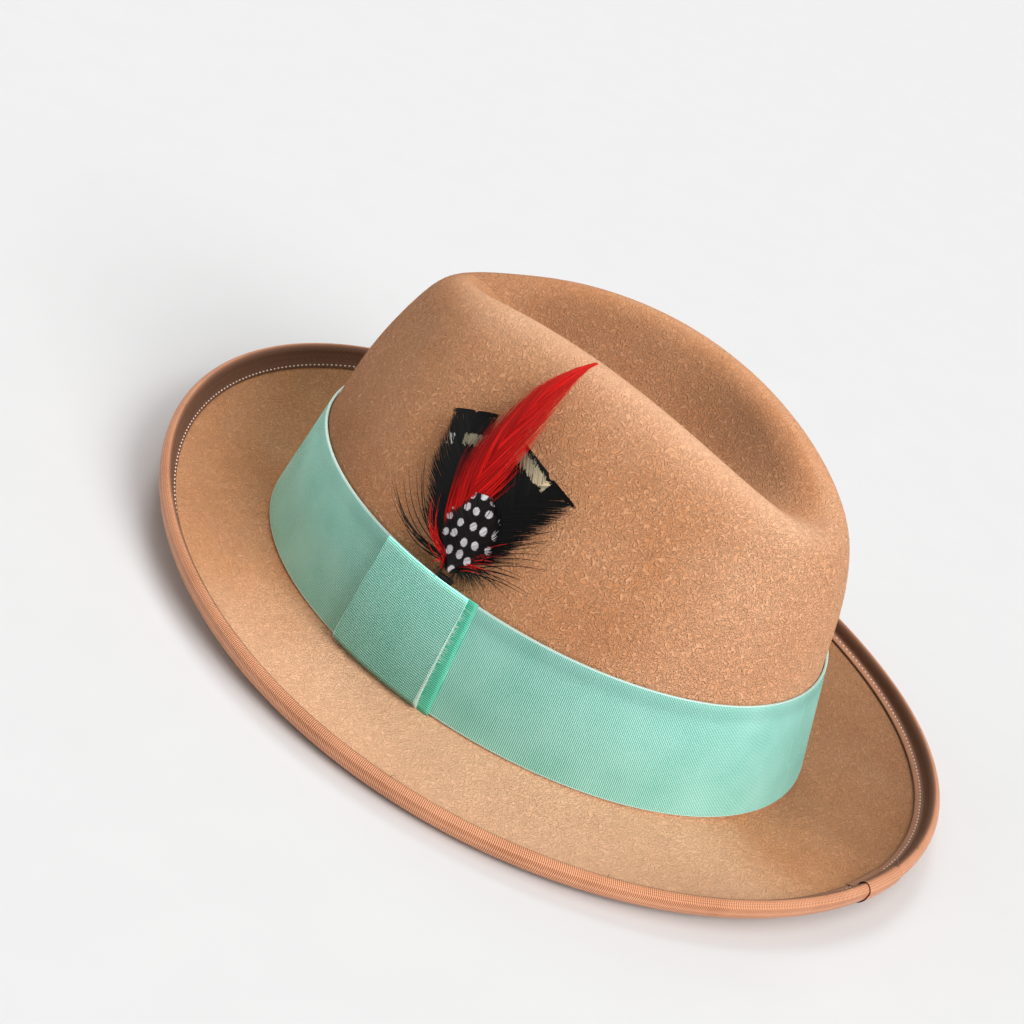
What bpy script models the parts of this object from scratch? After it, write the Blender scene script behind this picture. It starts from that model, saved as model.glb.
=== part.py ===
"""Felt trilby: one blocked felt hood, a bound brim, a ribbon band with a flat bow, and a feather mount.

Metres, +Z up. The hat rests on its brim at Z = 0, its front faces -Y, and +X is the wearer's left.
"""

from collections import namedtuple
from math import radians

import bmesh
import bpy
import numpy as np

# Felt hood, blocked in one piece: the sizes of the block, which is the inside of the felt
FELT_WALL = 0.0020
HEAD_HALF_WIDTH = 0.0801
HEAD_HALF_LENGTH = 0.0994
CROWN_HEIGHT = 0.1053
CROWN_FORWARD = 0.0041
BREAK_RADIUS = 0.0030

# Brim, over its binding: its plan, and how high its rolled edge stands above the table
BRIM_HALF_WIDTH = 0.1301
BRIM_HALF_LENGTH = 0.1438
EDGE_TOP_SIDE = 0.0097
EDGE_TOP_FRONT = 0.0241
EDGE_TOP_BACK = 0.0125
LIP_RADIUS = 0.0042
LIP_STRAIGHT = 0.0008

# Ribbons: the edge binding, the band and the flat bow
FIT_GAP = 0.0003
BINDING_WALL = 0.0007
BINDING_FLAP = 0.0072
BAND_WALL = 0.0010
BAND_WIDTH = 0.0380
BAND_CLEAR = 0.0007
BOW_WALL = 0.0010
BOW_OVER = 0.0012
BOW_LENGTH = 0.0340
BOW_ANGLE = radians(-3.2)

# Feather mount: the quills behind the bow, and the plume, which is as long as its hackle
STEM_WIDTH = 0.0050
STEM_THICKNESS = 0.0018
STEM_LENGTH = 0.0220
STEM_SHOWS = 0.0010
PLUME_ANGLE = radians(0.5)
PLUME_LENGTH = 0.0680
FEATHER_THICKNESS = 0.0010

# Facets round the hat, along the crown's section between two of its rows, and along each stretch of the brim
AROUND = 56
STEPS = 2
FLAT_STEPS = 2
SWEEP_STEPS = 3
CORNER_STEPS = 3

# The block from the crease outwards: shares of the head's half width and half length and of the crown's
# height. A positive egg makes a row wider at the back than in front.
CrownRow = namedtuple("CrownRow", "name half_width egg front back side_height front_height back_height")
CROWN_ROWS = (
    CrownRow("crease", 0.000, 0.00, 0.400, 0.360, 0.800, 0.792, 0.780),
    CrownRow("crease_foot", 0.090, 0.30, 0.470, 0.440, 0.822, 0.803, 0.788),
    CrownRow("crease_slope", 0.240, 0.12, 0.600, 0.585, 0.930, 0.846, 0.816),
    CrownRow("ridge", 0.381, 0.00, 0.729, 0.728, 1.000, 0.862, 0.834),
    CrownRow("shoulder", 0.527, 0.00, 0.820, 0.811, 0.937, 0.800, 0.785),
    CrownRow("wall", 0.788, 0.00, 0.901, 0.871, 0.661, 0.592, 0.585),
    CrownRow("lower_wall", 0.920, 0.00, 0.9235, 0.900, 0.382, 0.382, 0.382),
)

# The two hollows that fingers pinch into the front of the crown: shares of the crown's height
PINCH_ANGLES = (radians(-56), radians(-124))
PINCH_SPREAD = radians(17)
PINCH_DEPTH = 0.0055
PINCH_HEIGHT = 0.74
PINCH_TALL = 0.16

# Feathers from the crown outwards: length and width as shares of the plume's length, a lean towards the back,
# the shares of their width at the foot and the tip, where along them they are widest, and how steeply they
# stand off. The notches part their edges into locks.
Feather = namedtuple("Feather", "name lean length width foot belly tip rise locks notch")
FEATHERS = (
    Feather("turkey_feather_front", radians(-25), 0.72, 0.32, 0.25, 0.80, 0.80, 0.03, 5, 0.16),
    Feather("turkey_feather_back", radians(17), 0.62, 0.34, 0.25, 0.80, 0.82, 0.03, 5, 0.16),
    Feather("hackle_feather", radians(-3), 1.00, 0.25, 0.45, 0.30, 0.08, 0.09, 9, 0.20),
    Feather("guinea_feather", radians(-4), 0.37, 0.27, 0.40, 0.55, 0.40, 0.03, 5, 0.10),
)

# A feather's section: across it in half widths, and up in thicknesses
FEATHER_SECTION = (
    (-1.0, 0.3),
    (-0.5, 0.05),
    (0.0, 0.0),
    (0.5, 0.05),
    (1.0, 0.3),
    (1.0, 0.6),
    (0.5, 0.9),
    (0.0, 1.0),
    (-0.5, 0.9),
    (-1.0, 0.6),
)

# Rows of the binding's flap, as shares of its width from its edge to the rim
FLAP_ROWS = np.array([1.0, 0.72, 0.46, 0.24, 0.08])

# Flat of the brim that lies on the table, as shares of its width from the crown to the edge
FLAT_SIDE = 0.42
FLAT_FRONT = 0.16
FLAT_BACK = 0.12

ANGLES = np.arange(AROUND) * 2 * np.pi / AROUND
UP = np.array([0.0, 0.0, 1.0])
MIRROR = np.array([-1.0, 1.0, 1.0])


def round_the_hat(side, front, back, angles):
    """A size that runs smoothly round the hat, from its values at the two sides, the front and the back."""
    mean = (front + back) / 4 + side / 2
    return mean + (back - front) / 2 * np.sin(angles) + (side - mean) * np.cos(2 * angles)


def place(x, y, z):
    return np.stack(np.broadcast_arrays(x, y, z), axis=-1).astype(float)


def lengths(vectors):
    return np.linalg.norm(vectors, axis=-1, keepdims=True)


def smooth_rows(rows, steps):
    """Catmull-Rom curve through rows of points, with the given number of steps from each row to the next."""
    padded = np.concatenate([[2 * rows[0] - rows[1]], rows, [2 * rows[-1] - rows[-2]]])
    out = []
    for before, start, end, after in zip(padded, padded[1:], padded[2:], padded[3:]):
        for t in np.arange(steps) / steps:
            bend = 2 * before - 5 * start + 4 * end - after
            twist = 3 * start - before - 3 * end + after
            out.append(start + (end - before) * t / 2 + bend * t**2 / 2 + twist * t**3 / 2)
    return np.array([*out, rows[-1]])


def rounded_corner(start, corner, end, steps):
    """Points between start and end, on a curve that leaves towards the corner and arrives from it."""
    shares = np.arange(1, steps) / steps
    return [(1 - t) ** 2 * start + 2 * t * (1 - t) * corner + t**2 * end for t in shares]


def crown_rows(corner):
    """Rows over the block, from the crease down to the top of the curve that turns the felt into the brim."""
    rows = []
    for row in CROWN_ROWS:
        reach = np.where(np.sin(ANGLES) < 0, row.front, row.back) * HEAD_HALF_LENGTH
        half_width = row.half_width * HEAD_HALF_WIDTH * (1 + row.egg * np.sin(ANGLES))
        height = round_the_hat(row.side_height, row.front_height, row.back_height, ANGLES) * CROWN_HEIGHT
        y = reach * np.sin(ANGLES) - CROWN_FORWARD
        rows.append(place(half_width * np.cos(ANGLES), y, height))
    lean = (rows[-1] - corner) / (rows[-1] - corner)[:, 2:]
    rows.append(corner + lean * BREAK_RADIUS)
    rows = smooth_rows(np.array(rows), STEPS)
    inward = -upper_normals(rows, over_crease=True) * np.array([1, 1, 0])
    level = (rows[:, :, 2:] / CROWN_HEIGHT - PINCH_HEIGHT) / PINCH_TALL
    for pinch in PINCH_ANGLES:
        turn = np.angle(np.exp(1j * (ANGLES - pinch)))[None, :, None] / PINCH_SPREAD
        rows = rows + inward * PINCH_DEPTH * np.exp(-(level**2) - turn**2)
    return rows


def brim_rows(corner, start):
    """Rows of the brim's underside: round the break, along the table, up the sweep and up the rolled lip."""
    cover = BINDING_WALL + FIT_GAP
    half_width, half_length = BRIM_HALF_WIDTH - cover, BRIM_HALF_LENGTH - cover
    edge = place(half_width * np.cos(ANGLES), half_length * np.sin(ANGLES), 0)
    width = lengths(edge - corner)
    out = (edge - corner) / width
    flat = width * round_the_hat(FLAT_SIDE, FLAT_FRONT, FLAT_BACK, ANGLES)[:, None]
    foot = width - LIP_RADIUS
    top = round_the_hat(EDGE_TOP_SIDE, EDGE_TOP_FRONT, EDGE_TOP_BACK, ANGLES)[:, None] - cover
    lip = top - FELT_WALL / 2 - LIP_STRAIGHT
    bend = lip - LIP_RADIUS
    foot_height = bend / (1 + 2 * LIP_RADIUS / (foot - flat))

    table_start = corner + out * BREAK_RADIUS
    rows = [*rounded_corner(start, corner, table_start, CORNER_STEPS), table_start]
    for t in np.arange(1, FLAT_STEPS + 1) / FLAT_STEPS:
        rows.append(corner + out * (BREAK_RADIUS + (flat - BREAK_RADIUS) * t))
    for t in np.arange(1, SWEEP_STEPS + 1) / SWEEP_STEPS:
        rows.append(corner + out * (flat + (foot - flat) * t) + UP * foot_height * t**2)
    lip_start = corner + out * width + UP * lip
    lip_corner = corner + out * width + UP * bend
    rows += [*rounded_corner(rows[-1], lip_corner, lip_start, CORNER_STEPS), lip_start]
    rows.append(lip_start + UP * LIP_STRAIGHT)
    return np.array(rows)


def upper_normals(rows, over_crease=False):
    """Normals on the crown's outside and the brim's top, long enough that an offset keeps a wall even."""
    around = np.roll(rows, -1, axis=1) - np.roll(rows, 1, axis=1)
    faces = np.cross(np.diff(rows, axis=0), around[1:] + around[:-1])
    faces /= lengths(faces)
    first = faces[:1] * MIRROR if over_crease else faces[:1]
    before = np.concatenate([first, faces])
    after = np.concatenate([faces, faces[-1:]])
    return (before + after) / (1 + (before * after).sum(axis=2, keepdims=True))


def at_lengths(rows, distances):
    """Points on the rows' own polylines at given distances from their first row."""
    reach = np.cumsum(lengths(np.diff(rows, axis=0, prepend=rows[:1]))[..., 0], axis=0)
    columns = []
    for i in range(rows.shape[1]):
        point = [np.interp(distances, reach[:, i], rows[:, i, axis]) for axis in range(3)]
        columns.append(np.stack(point, axis=-1))
    return np.stack(columns, axis=1)


def material(name, colour, roughness):
    made = bpy.data.materials.new(name)
    made.use_nodes = True
    shader = made.node_tree.nodes["Principled BSDF"]
    shader.inputs["Base Color"].default_value = (*colour, 1)
    shader.inputs["Roughness"].default_value = roughness
    return made


def mesh_object(name, rows, finish, loop, ring):
    """A body from rows of points. A loop joins the last row to the first, and a ring the last column."""
    count, columns = rows.shape[:2]
    bm = bmesh.new()
    verts = [[bm.verts.new(point) for point in row] for row in rows]
    for k in range(count if loop else count - 1):
        for i in range(columns if ring else columns - 1):
            k2, i2 = (k + 1) % count, (i + 1) % columns
            bm.faces.new((verts[k][i], verts[k2][i], verts[k2][i2], verts[k][i2]))
    if not ring:
        bm.faces.new([row[0] for row in verts])
        bm.faces.new([row[-1] for row in verts])
    bmesh.ops.remove_doubles(bm, verts=bm.verts, dist=1e-6)
    bmesh.ops.dissolve_degenerate(bm, edges=bm.edges, dist=1e-6)
    bmesh.ops.recalc_face_normals(bm, faces=bm.faces)
    mesh = bpy.data.meshes.new(name)
    bm.to_mesh(mesh)
    bm.free()
    mesh.shade_smooth()
    mesh.set_sharp_from_angle(angle=radians(40))
    mesh.materials.append(finish)
    made = bpy.data.objects.new(name, mesh)
    bpy.context.collection.objects.link(made)
    return made


# The hood's inside and outside, and where its felt turns from the crown into the brim
break_line = place(HEAD_HALF_WIDTH * np.cos(ANGLES), HEAD_HALF_LENGTH * np.sin(ANGLES) - CROWN_FORWARD, 0)
crown = crown_rows(break_line)
inside = np.concatenate([crown, brim_rows(break_line, crown[-1])])
outside = inside + upper_normals(inside, over_crease=True) * FELT_WALL


def make_felt_body(finish):
    """Crown and brim are one piece of felt, with a rounded rim where it ends inside the binding."""
    rim = (inside[-1] + outside[-1]) / 2 + UP * FELT_WALL / 2
    return mesh_object("felt_body", np.concatenate([inside, [rim], outside[::-1]]), finish, False, True)


def make_brim_binding(finish):
    """A ribbon folded over the rim, with one flap under the brim and one on top of it."""
    flap = FLAP_ROWS * BINDING_FLAP
    under = at_lengths(inside[::-1], flap)
    over = at_lengths(outside[::-1], flap[::-1])
    rim = (inside[-1] + outside[-1]) / 2 + UP * FELT_WALL / 2
    path = np.concatenate([under, [inside[-1]], [rim], [outside[-1]], over])
    away = -upper_normals(path)
    near = path + away * FIT_GAP
    far = path + away * (FIT_GAP + BINDING_WALL)
    return mesh_object("brim_binding", np.concatenate([near, far[::-1]]), finish, True, True)


# What lies on the crown is placed by its distance up the felt from the break, by its angle round the hat
# and by its height off the felt. Below the break line the felt's own slope carries on.
crown_up = outside[: len(crown)][::-1]
downwards = crown_up[0] - crown_up[1]
crown_foot = crown_up[0] + downwards / lengths(downwards) * BREAK_RADIUS
crown_up = np.concatenate([[crown_foot], crown_up])
crown_up_normals = -upper_normals(crown_up)
crown_up_steps = lengths(np.diff(crown_up, axis=0, prepend=[crown_foot]))[..., 0]
crown_up_reach = np.cumsum(crown_up_steps, axis=0) - BREAK_RADIUS


def on_column(column, distance, height):
    reach = crown_up_reach[:, column]
    point = [np.interp(distance, reach, crown_up[:, column, axis]) for axis in range(3)]
    normal = [np.interp(distance, reach, crown_up_normals[:, column, axis]) for axis in range(3)]
    return np.array(point) + np.array(normal) * height


def over_felt(distance, angle, height):
    """A point over the crown, on the facets between two of its columns."""
    turn = angle / (2 * np.pi) * AROUND
    column = int(np.floor(turn))
    share = turn - column
    left = on_column(column % AROUND, distance, height)
    right = on_column((column + 1) % AROUND, distance, height)
    return left * (1 - share) + right * share


def turn_of(sideways, distance, angle):
    """The angle round the hat that a length sideways takes at a distance up the felt."""
    step = radians(2)
    chord = over_felt(distance, angle + step, 0) - over_felt(distance, angle - step, 0)
    return angle + sideways * 2 * step / float(lengths(chord)[0])


def over_felt_section(section, angles):
    """Rows of points for a section given as (distance, height) pairs, at each of the angles."""
    return np.array([[over_felt(along, angle, height) for angle in angles] for along, height in section])


BAND_LOW = FELT_WALL + BAND_CLEAR - crown_up[1, :, 2].mean()
BAND_HIGH = BAND_LOW + BAND_WIDTH
BAND_FACE = FIT_GAP + BAND_WALL
SEAT = BAND_FACE + FIT_GAP
BOW_LIFT = SEAT + STEM_THICKNESS + FIT_GAP


def make_hat_band(finish):
    """A ribbon round the foot of the crown."""
    along = BAND_LOW + np.array([0.0, 0.33, 0.67, 1.0]) * BAND_WIDTH
    section = [(s, FIT_GAP) for s in along] + [(s, BAND_FACE) for s in along[::-1]]
    return mesh_object("hat_band", over_felt_section(section, ANGLES), finish, True, True)


def make_band_bow(finish):
    """A short ribbon across the band, stitched down along its lower edge, that springs over the quills."""
    low = BAND_LOW
    high = BAND_HIGH + BOW_OVER
    curl = BOW_WALL * 3
    middle = (low + high) / 2
    top = BOW_LIFT + BOW_WALL
    inner = [(low, SEAT), (low + curl, BOW_LIFT), (middle, BOW_LIFT), (high - BOW_WALL, BOW_LIFT)]
    outer = [(high, BOW_LIFT + BOW_WALL * 0.3), (high - BOW_WALL * 0.6, top), (middle, top)]
    outer += [(low + curl * 0.6, top - BOW_WALL * 0.1), (low - BOW_WALL * 0.5, SEAT + BOW_WALL * 0.4)]
    half_turn = turn_of(BOW_LENGTH / 2, middle, BOW_ANGLE) - BOW_ANGLE
    angles = BOW_ANGLE + np.linspace(-1, 1, 7) * half_turn
    return mesh_object("band_bow", over_felt_section(inner + outer, angles), finish, True, False)


def feather_width(share, feather):
    """Share of a feather's full width along it: it swells to its belly and narrows to its tip."""
    if share < feather.belly:
        return feather.foot + (1 - feather.foot) * np.sin(share / feather.belly * np.pi / 2)
    return 1 - (1 - feather.tip) * ((share - feather.belly) / (1 - feather.belly)) ** 2


def make_feather(feather, layer, finish):
    """A blade of barbs laid over the crown, with its edge parted into locks that point to the tip."""
    length = feather.length * PLUME_LENGTH
    half_width = feather.width * PLUME_LENGTH / 2
    low = SEAT + layer * (FEATHER_THICKNESS + FIT_GAP)
    start = STEM_TOP + FIT_GAP
    edges = np.linspace(0, 1, feather.locks + 1)
    stations = []
    for begin, end in zip(edges, edges[1:]):
        stations += [(begin + 0.1 / feather.locks, 1 - feather.notch), (end - 0.1 / feather.locks, 1.0)]
    rows = []
    for share, fullness in stations:
        half = half_width * feather_width(share, feather) * fullness
        line = []
        for across, top in FEATHER_SECTION:
            sideways = length * share * np.sin(feather.lean) + half * across * np.cos(feather.lean)
            along = start + length * share * np.cos(feather.lean) - half * across * np.sin(feather.lean)
            turn = turn_of(sideways, along, PLUME_ANGLE)
            height = low + top * FEATHER_THICKNESS + share**2 * feather.rise * length
            line.append(over_felt(along, turn, height))
        rows.append(line)
    return mesh_object(feather.name, np.array(rows).transpose(1, 0, 2), finish, True, False)


def make_feather_stem(finish):
    """The quills, bound flat side by side and tucked between the band and the bow."""
    angles = [turn_of(side * STEM_WIDTH / 2, BAND_HIGH, PLUME_ANGLE) for side in (-1, -0.4, 0.4, 1)]
    along = np.linspace(STEM_TOP - STEM_LENGTH, STEM_TOP, 5)
    section = [(s, SEAT) for s in along] + [(s, SEAT + STEM_THICKNESS) for s in along[::-1]]
    return mesh_object("feather_stem", over_felt_section(section, angles), finish, True, False)


STEM_TOP = BAND_HIGH + BOW_OVER + STEM_SHOWS

for old in list(bpy.data.objects):
    bpy.data.objects.remove(old, do_unlink=True)

felt = material("fur_felt_tan", (0.56, 0.27, 0.13), 0.9)
binding_ribbon = material("grosgrain_copper", (0.26, 0.10, 0.04), 0.5)
band_ribbon = material("grosgrain_mint", (0.20, 0.62, 0.48), 0.55)
bow_ribbon = material("grosgrain_mint_bow", (0.24, 0.66, 0.52), 0.55)
quills = material("quill_horn", (0.10, 0.06, 0.04), 0.4)
feather_colours = {
    "turkey_feather_front": (0.02, 0.015, 0.012),
    "turkey_feather_back": (0.025, 0.02, 0.015),
    "hackle_feather": (0.55, 0.01, 0.02),
    "guinea_feather": (0.015, 0.015, 0.018),
}

make_felt_body(felt)
make_brim_binding(binding_ribbon)
make_hat_band(band_ribbon)
make_band_bow(bow_ribbon)
make_feather_stem(quills)
for layer, feather in enumerate(FEATHERS):
    make_feather(feather, layer, material(feather.name, feather_colours[feather.name], 0.5))
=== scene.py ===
"""A tan long-haired felt trilby with a ribbon-bound brim, a mint ribbon band with a flat bow, and a small plume.

Metres, +Z up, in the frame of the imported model: the hat rests on its brim at Z = 0, -Y is its front and +X the
wearer's left, where the bow and the plume are.
"""

from math import atan, cos, pi, radians, sin

import bpy
import numpy as np
from mathutils import Matrix, Vector
from mathutils.bvhtree import BVHTree


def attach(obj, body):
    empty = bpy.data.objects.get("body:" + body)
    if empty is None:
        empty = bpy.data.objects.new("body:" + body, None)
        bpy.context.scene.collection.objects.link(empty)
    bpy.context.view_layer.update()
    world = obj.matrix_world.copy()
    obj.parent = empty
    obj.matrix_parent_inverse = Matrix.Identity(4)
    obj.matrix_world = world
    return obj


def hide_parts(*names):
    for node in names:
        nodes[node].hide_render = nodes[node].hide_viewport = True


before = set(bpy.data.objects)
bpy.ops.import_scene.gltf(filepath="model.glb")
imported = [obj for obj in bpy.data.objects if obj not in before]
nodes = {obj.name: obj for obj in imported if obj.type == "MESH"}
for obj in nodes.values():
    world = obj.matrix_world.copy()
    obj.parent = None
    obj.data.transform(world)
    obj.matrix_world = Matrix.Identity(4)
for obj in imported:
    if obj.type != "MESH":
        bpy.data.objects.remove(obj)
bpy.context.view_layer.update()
chance = np.random.default_rng(4711)

# Camera: the photograph looks at the hat's left side from a little above and behind, and is rolled, so that the
# hat seems propped up. The aim point is low in the crown, a little off the picture's centre.
PHOTO = 1024
FOCAL = 2230.9
AIM = Vector((0, -0.0041, 0.0427))
AIM_PIXEL = (582.6, 521.6)
AZIMUTH, ELEVATION, ROLL = radians(112.96), radians(26.85), radians(25.48)
DISTANCE = 0.7268

towards = Vector((sin(AZIMUTH) * cos(ELEVATION), -cos(AZIMUTH) * cos(ELEVATION), sin(ELEVATION)))
level_right = Vector((0, 0, 1)).cross(towards).normalized()
right = Matrix.Rotation(ROLL, 3, towards) @ level_right
up = towards.cross(right)
swing = atan((AIM_PIXEL[0] - PHOTO / 2) / FOCAL)
tip = atan((AIM_PIXEL[1] - PHOTO / 2) / FOCAL)
facing = -towards * cos(swing) - right * sin(swing)
camera_right = right * cos(swing) - towards * sin(swing)
camera_back = -(facing * cos(tip) + up * sin(tip))
camera_up = up * cos(tip) - facing * sin(tip)
camera_place = AIM + towards * DISTANCE

bpy.ops.object.select_all(action="DESELECT")
bpy.ops.object.camera_add()
camera = bpy.context.object
camera.name = "camera"
camera.data.sensor_width = 36
camera.data.lens = FOCAL * 36 / PHOTO
camera.data.clip_start = 0.01
camera_turn = Matrix((camera_right, camera_up, camera_back)).transposed().to_4x4()
camera.matrix_world = Matrix.Translation(camera_place) @ camera_turn
bpy.context.scene.camera = camera

# Studio: a seamless pale floor under pale air, a broad soft key light behind the hat's left shoulder, a top light,
# a weak one in front and one on the far side. Each light is given as the way it comes from, its strength and how wide it looks.
FLOOR_WIDTH = 6.0
FLOOR_COLOURS = ("#DEDEDE", "#E1E1E1")
AIR_STRENGTH = 0.24
LIGHTS = (
    ("key_light", (0.25, 0.85, 0.62), 0.72, 38),
    ("top_light", (0.05, 0.35, 0.94), 0.30, 60),
    ("front_light", (0.50, -0.72, 0.55), 0.14, 50),
    ("far_light", (-0.50, -0.45, 0.74), 0.25, 22),
)


def linear(colour):
    """An sRGB hex colour as the linear RGBA that shaders take."""
    shares = [int(colour[i : i + 2], 16) / 255 for i in (1, 3, 5)]
    return (*[s / 12.92 if s <= 0.04045 else ((s + 0.055) / 1.055) ** 2.4 for s in shares], 1.0)


def add(tree, kind, links=(), **settings):
    """Adds a node with its settings. Each of its inputs is given a value or linked to another node's output."""
    node = tree.nodes.new(kind)
    for name, value in settings.items():
        setattr(node, name, value)
    for socket, value in dict(links).items():
        if isinstance(value, bpy.types.NodeSocket):
            tree.links.new(value, node.inputs[socket])
        else:
            node.inputs[socket].default_value = value
    return node


def new_material(name, roughness, **settings):
    """A material with its tree, its shader, and constant values set on the shader's own sockets."""
    made = bpy.data.materials.new(name)
    made.use_nodes = True
    shader = made.node_tree.nodes["Principled BSDF"]
    shader.inputs["Roughness"].default_value = roughness
    for socket, value in settings.items():
        shader.inputs[socket.replace("_", " ")].default_value = value
    return made, made.node_tree, shader


bpy.ops.mesh.primitive_plane_add(size=FLOOR_WIDTH)
floor = bpy.context.object
floor.name = "studio_floor"
paper, tree, shader = new_material("matt_backdrop_paper", 0.9)
place = add(tree, "ShaderNodeTexCoord").outputs["Object"]
grain = add(tree, "ShaderNodeTexNoise", {"Vector": place, "Scale": 40.0})
pale, paler = (linear(colour) for colour in FLOOR_COLOURS)
tone = add(tree, "ShaderNodeMix", {0: grain.outputs[0], 6: pale, 7: paler}, data_type="RGBA")
tree.links.new(tone.outputs[2], shader.inputs["Base Color"])
floor.data.materials.append(paper)

for name, way, strength, spread in LIGHTS:
    bpy.ops.object.light_add(type="SUN", location=AIM + Vector(way))
    light = bpy.context.object
    light.name = name
    light.rotation_euler = Vector(way).to_track_quat("Z", "Y").to_euler()
    light.data.energy = strength * pi
    light.data.angle = radians(spread)

world = bpy.context.scene.world or bpy.data.worlds.new("studio_air")
bpy.context.scene.world = world
world.use_nodes = True
world.node_tree.nodes["Background"].inputs["Color"].default_value = (1, 1, 1, 1)
world.node_tree.nodes["Background"].inputs["Strength"].default_value = AIR_STRENGTH
bpy.context.scene.view_settings.view_transform = "Standard"

# Felt hood: fur felt, blocked in one piece over a wooden form, with the crown creased and pinched by hand. Its long
# fur is brushed up on the crown and shorn on the brim, and it is rubbed flat along the ridge round the crease.
FUR_LIGHT, FUR_MID, FUR_DARK, FUR_HIGHLIGHT = "#E8B38B", "#D08F62", "#9B5E38", "#F2CCAC"
CURL_GAP = 0.0006
# Painted light and shade round the brim's felt, as degrees from the wearer's left towards the back, and a tone.
BRIM_PAINTED_LIGHT = ((-180, 0.75), (-96, 0.88), (-50, 0.88), (-14, 1.30), (40, 1.32), (66, 1.24), (94, 0.64), (125, 0.58), (180, 0.75))


def copy_of(node, name, bevel, levels):
    """A merged copy of a CAD node in quads, with its corners rounded and its facets smoothed, which replaces it."""
    piece = bpy.data.objects.new(name, nodes[node].data.copy())
    bpy.context.collection.objects.link(piece)
    bpy.ops.object.select_all(action="DESELECT")
    piece.select_set(True)
    bpy.context.view_layer.objects.active = piece
    bpy.ops.object.mode_set(mode="EDIT")
    bpy.ops.mesh.select_all(action="SELECT")
    bpy.ops.mesh.remove_doubles(threshold=1e-5)
    bpy.ops.mesh.tris_convert_to_quads(face_threshold=radians(50), shape_threshold=radians(60))
    bpy.ops.object.mode_set(mode="OBJECT")
    bpy.ops.mesh.customdata_custom_splitnormals_clear()
    if bevel:
        bpy.ops.object.modifier_add(type="BEVEL")
        corners = piece.modifiers[-1]
        corners.width, corners.segments, corners.angle_limit = bevel, 2, radians(40)
        bpy.ops.object.modifier_apply(modifier=corners.name)
    bpy.ops.object.modifier_add(type="SUBSURF")
    smooth = piece.modifiers[-1]
    smooth.levels = smooth.render_levels = levels
    bpy.ops.object.modifier_apply(modifier=smooth.name)
    bpy.ops.object.shade_smooth()
    piece.data.materials.clear()
    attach(piece, "root")
    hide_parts(node)
    return piece


def points_of(mesh, kind):
    values = np.zeros(len(mesh.vertices) * 3)
    mesh.vertices.foreach_get(kind, values)
    return values.reshape(-1, 3)


def set_attribute(mesh, name, kind, domain, values):
    field = "value" if kind == "FLOAT" else "vector"
    attribute = mesh.attributes.new(name, kind, domain)
    attribute.data.foreach_set(field, np.asarray(values, np.float32).ravel())


def unit(vectors):
    return vectors / np.maximum(np.linalg.norm(vectors, axis=-1, keepdims=True), 1e-12)


hood = copy_of("felt_body", "felt_hood", 0, 2)
points, level = points_of(hood.data, "co"), np.abs(points_of(hood.data, "normal")[:, 2])
steep = np.clip((0.90 - level) / 0.45, 0, 1)

# Painted light and shade in the felt's colour: a painted highlight along the ridge, stronger on its near side, painted
# light on the back of the crown and on the near side of the brim, and painted shade down in the crease, on the front of
# the crown and at the brim's front, its turned-up back and its far side.
RIDGE_X, RIDGE_FRONT, RIDGE_BACK = 0.0305, 0.0725, 0.0724
across, along = points[:, 0] / RIDGE_X, (points[:, 1] + 0.0041) / RIDGE_BACK
from_ridge = np.hypot(across, along) - 1
on_crown = points[:, 2] > 0.036
ridge = np.exp(-((from_ridge / 0.35) ** 2)) * on_crown * np.clip((points[:, 2] - 0.085) / 0.012, 0, 1)
depth = 0.7 + 0.2 * np.clip(along / 0.4, 0, 1) + np.clip(-across, 0, 0.6) / 0.6 * (0.5 + 0.8 * np.clip(along / 0.4, 0, 1))
crease = np.clip(-from_ridge / 0.25, 0, 1) * on_crown * depth
from_head = np.hypot(points[:, 0] / 0.0801, (points[:, 1] + 0.0041) / 0.0994)
on_brim = np.clip((0.035 - points[:, 2]) / 0.01, 0, 1) * np.clip((from_head - 0.97) / 0.03, 0, 1)
angles, tones = zip(*BRIM_PAINTED_LIGHT)
brim_painted_light = np.interp(np.degrees(np.arctan2(points[:, 1], points[:, 0])), angles, tones)
front = 0.14 * np.clip((-points[:, 1] - 0.040) / 0.030, 0, 1) * on_crown
back = 0.12 * np.clip((points[:, 1] - 0.045) / 0.020, 0, 1) * on_crown
tone_and_painted_light = 1 + 0.30 * ridge * np.where(across < 0, 0.3, 1) - 0.26 * crease - front + back + on_brim * (brim_painted_light - 1)
set_attribute(hood.data, "tone_and_painted_light", "FLOAT", "POINT", tone_and_painted_light)
nap = np.where(on_brim > 0.5, 0.45, 0.85 + 0.15 * steep) * (1 - 0.6 * ridge)
set_attribute(hood.data, "nap", "FLOAT", "POINT", nap)
felt_surface = BVHTree.FromObject(hood, bpy.context.evaluated_depsgraph_get())
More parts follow.
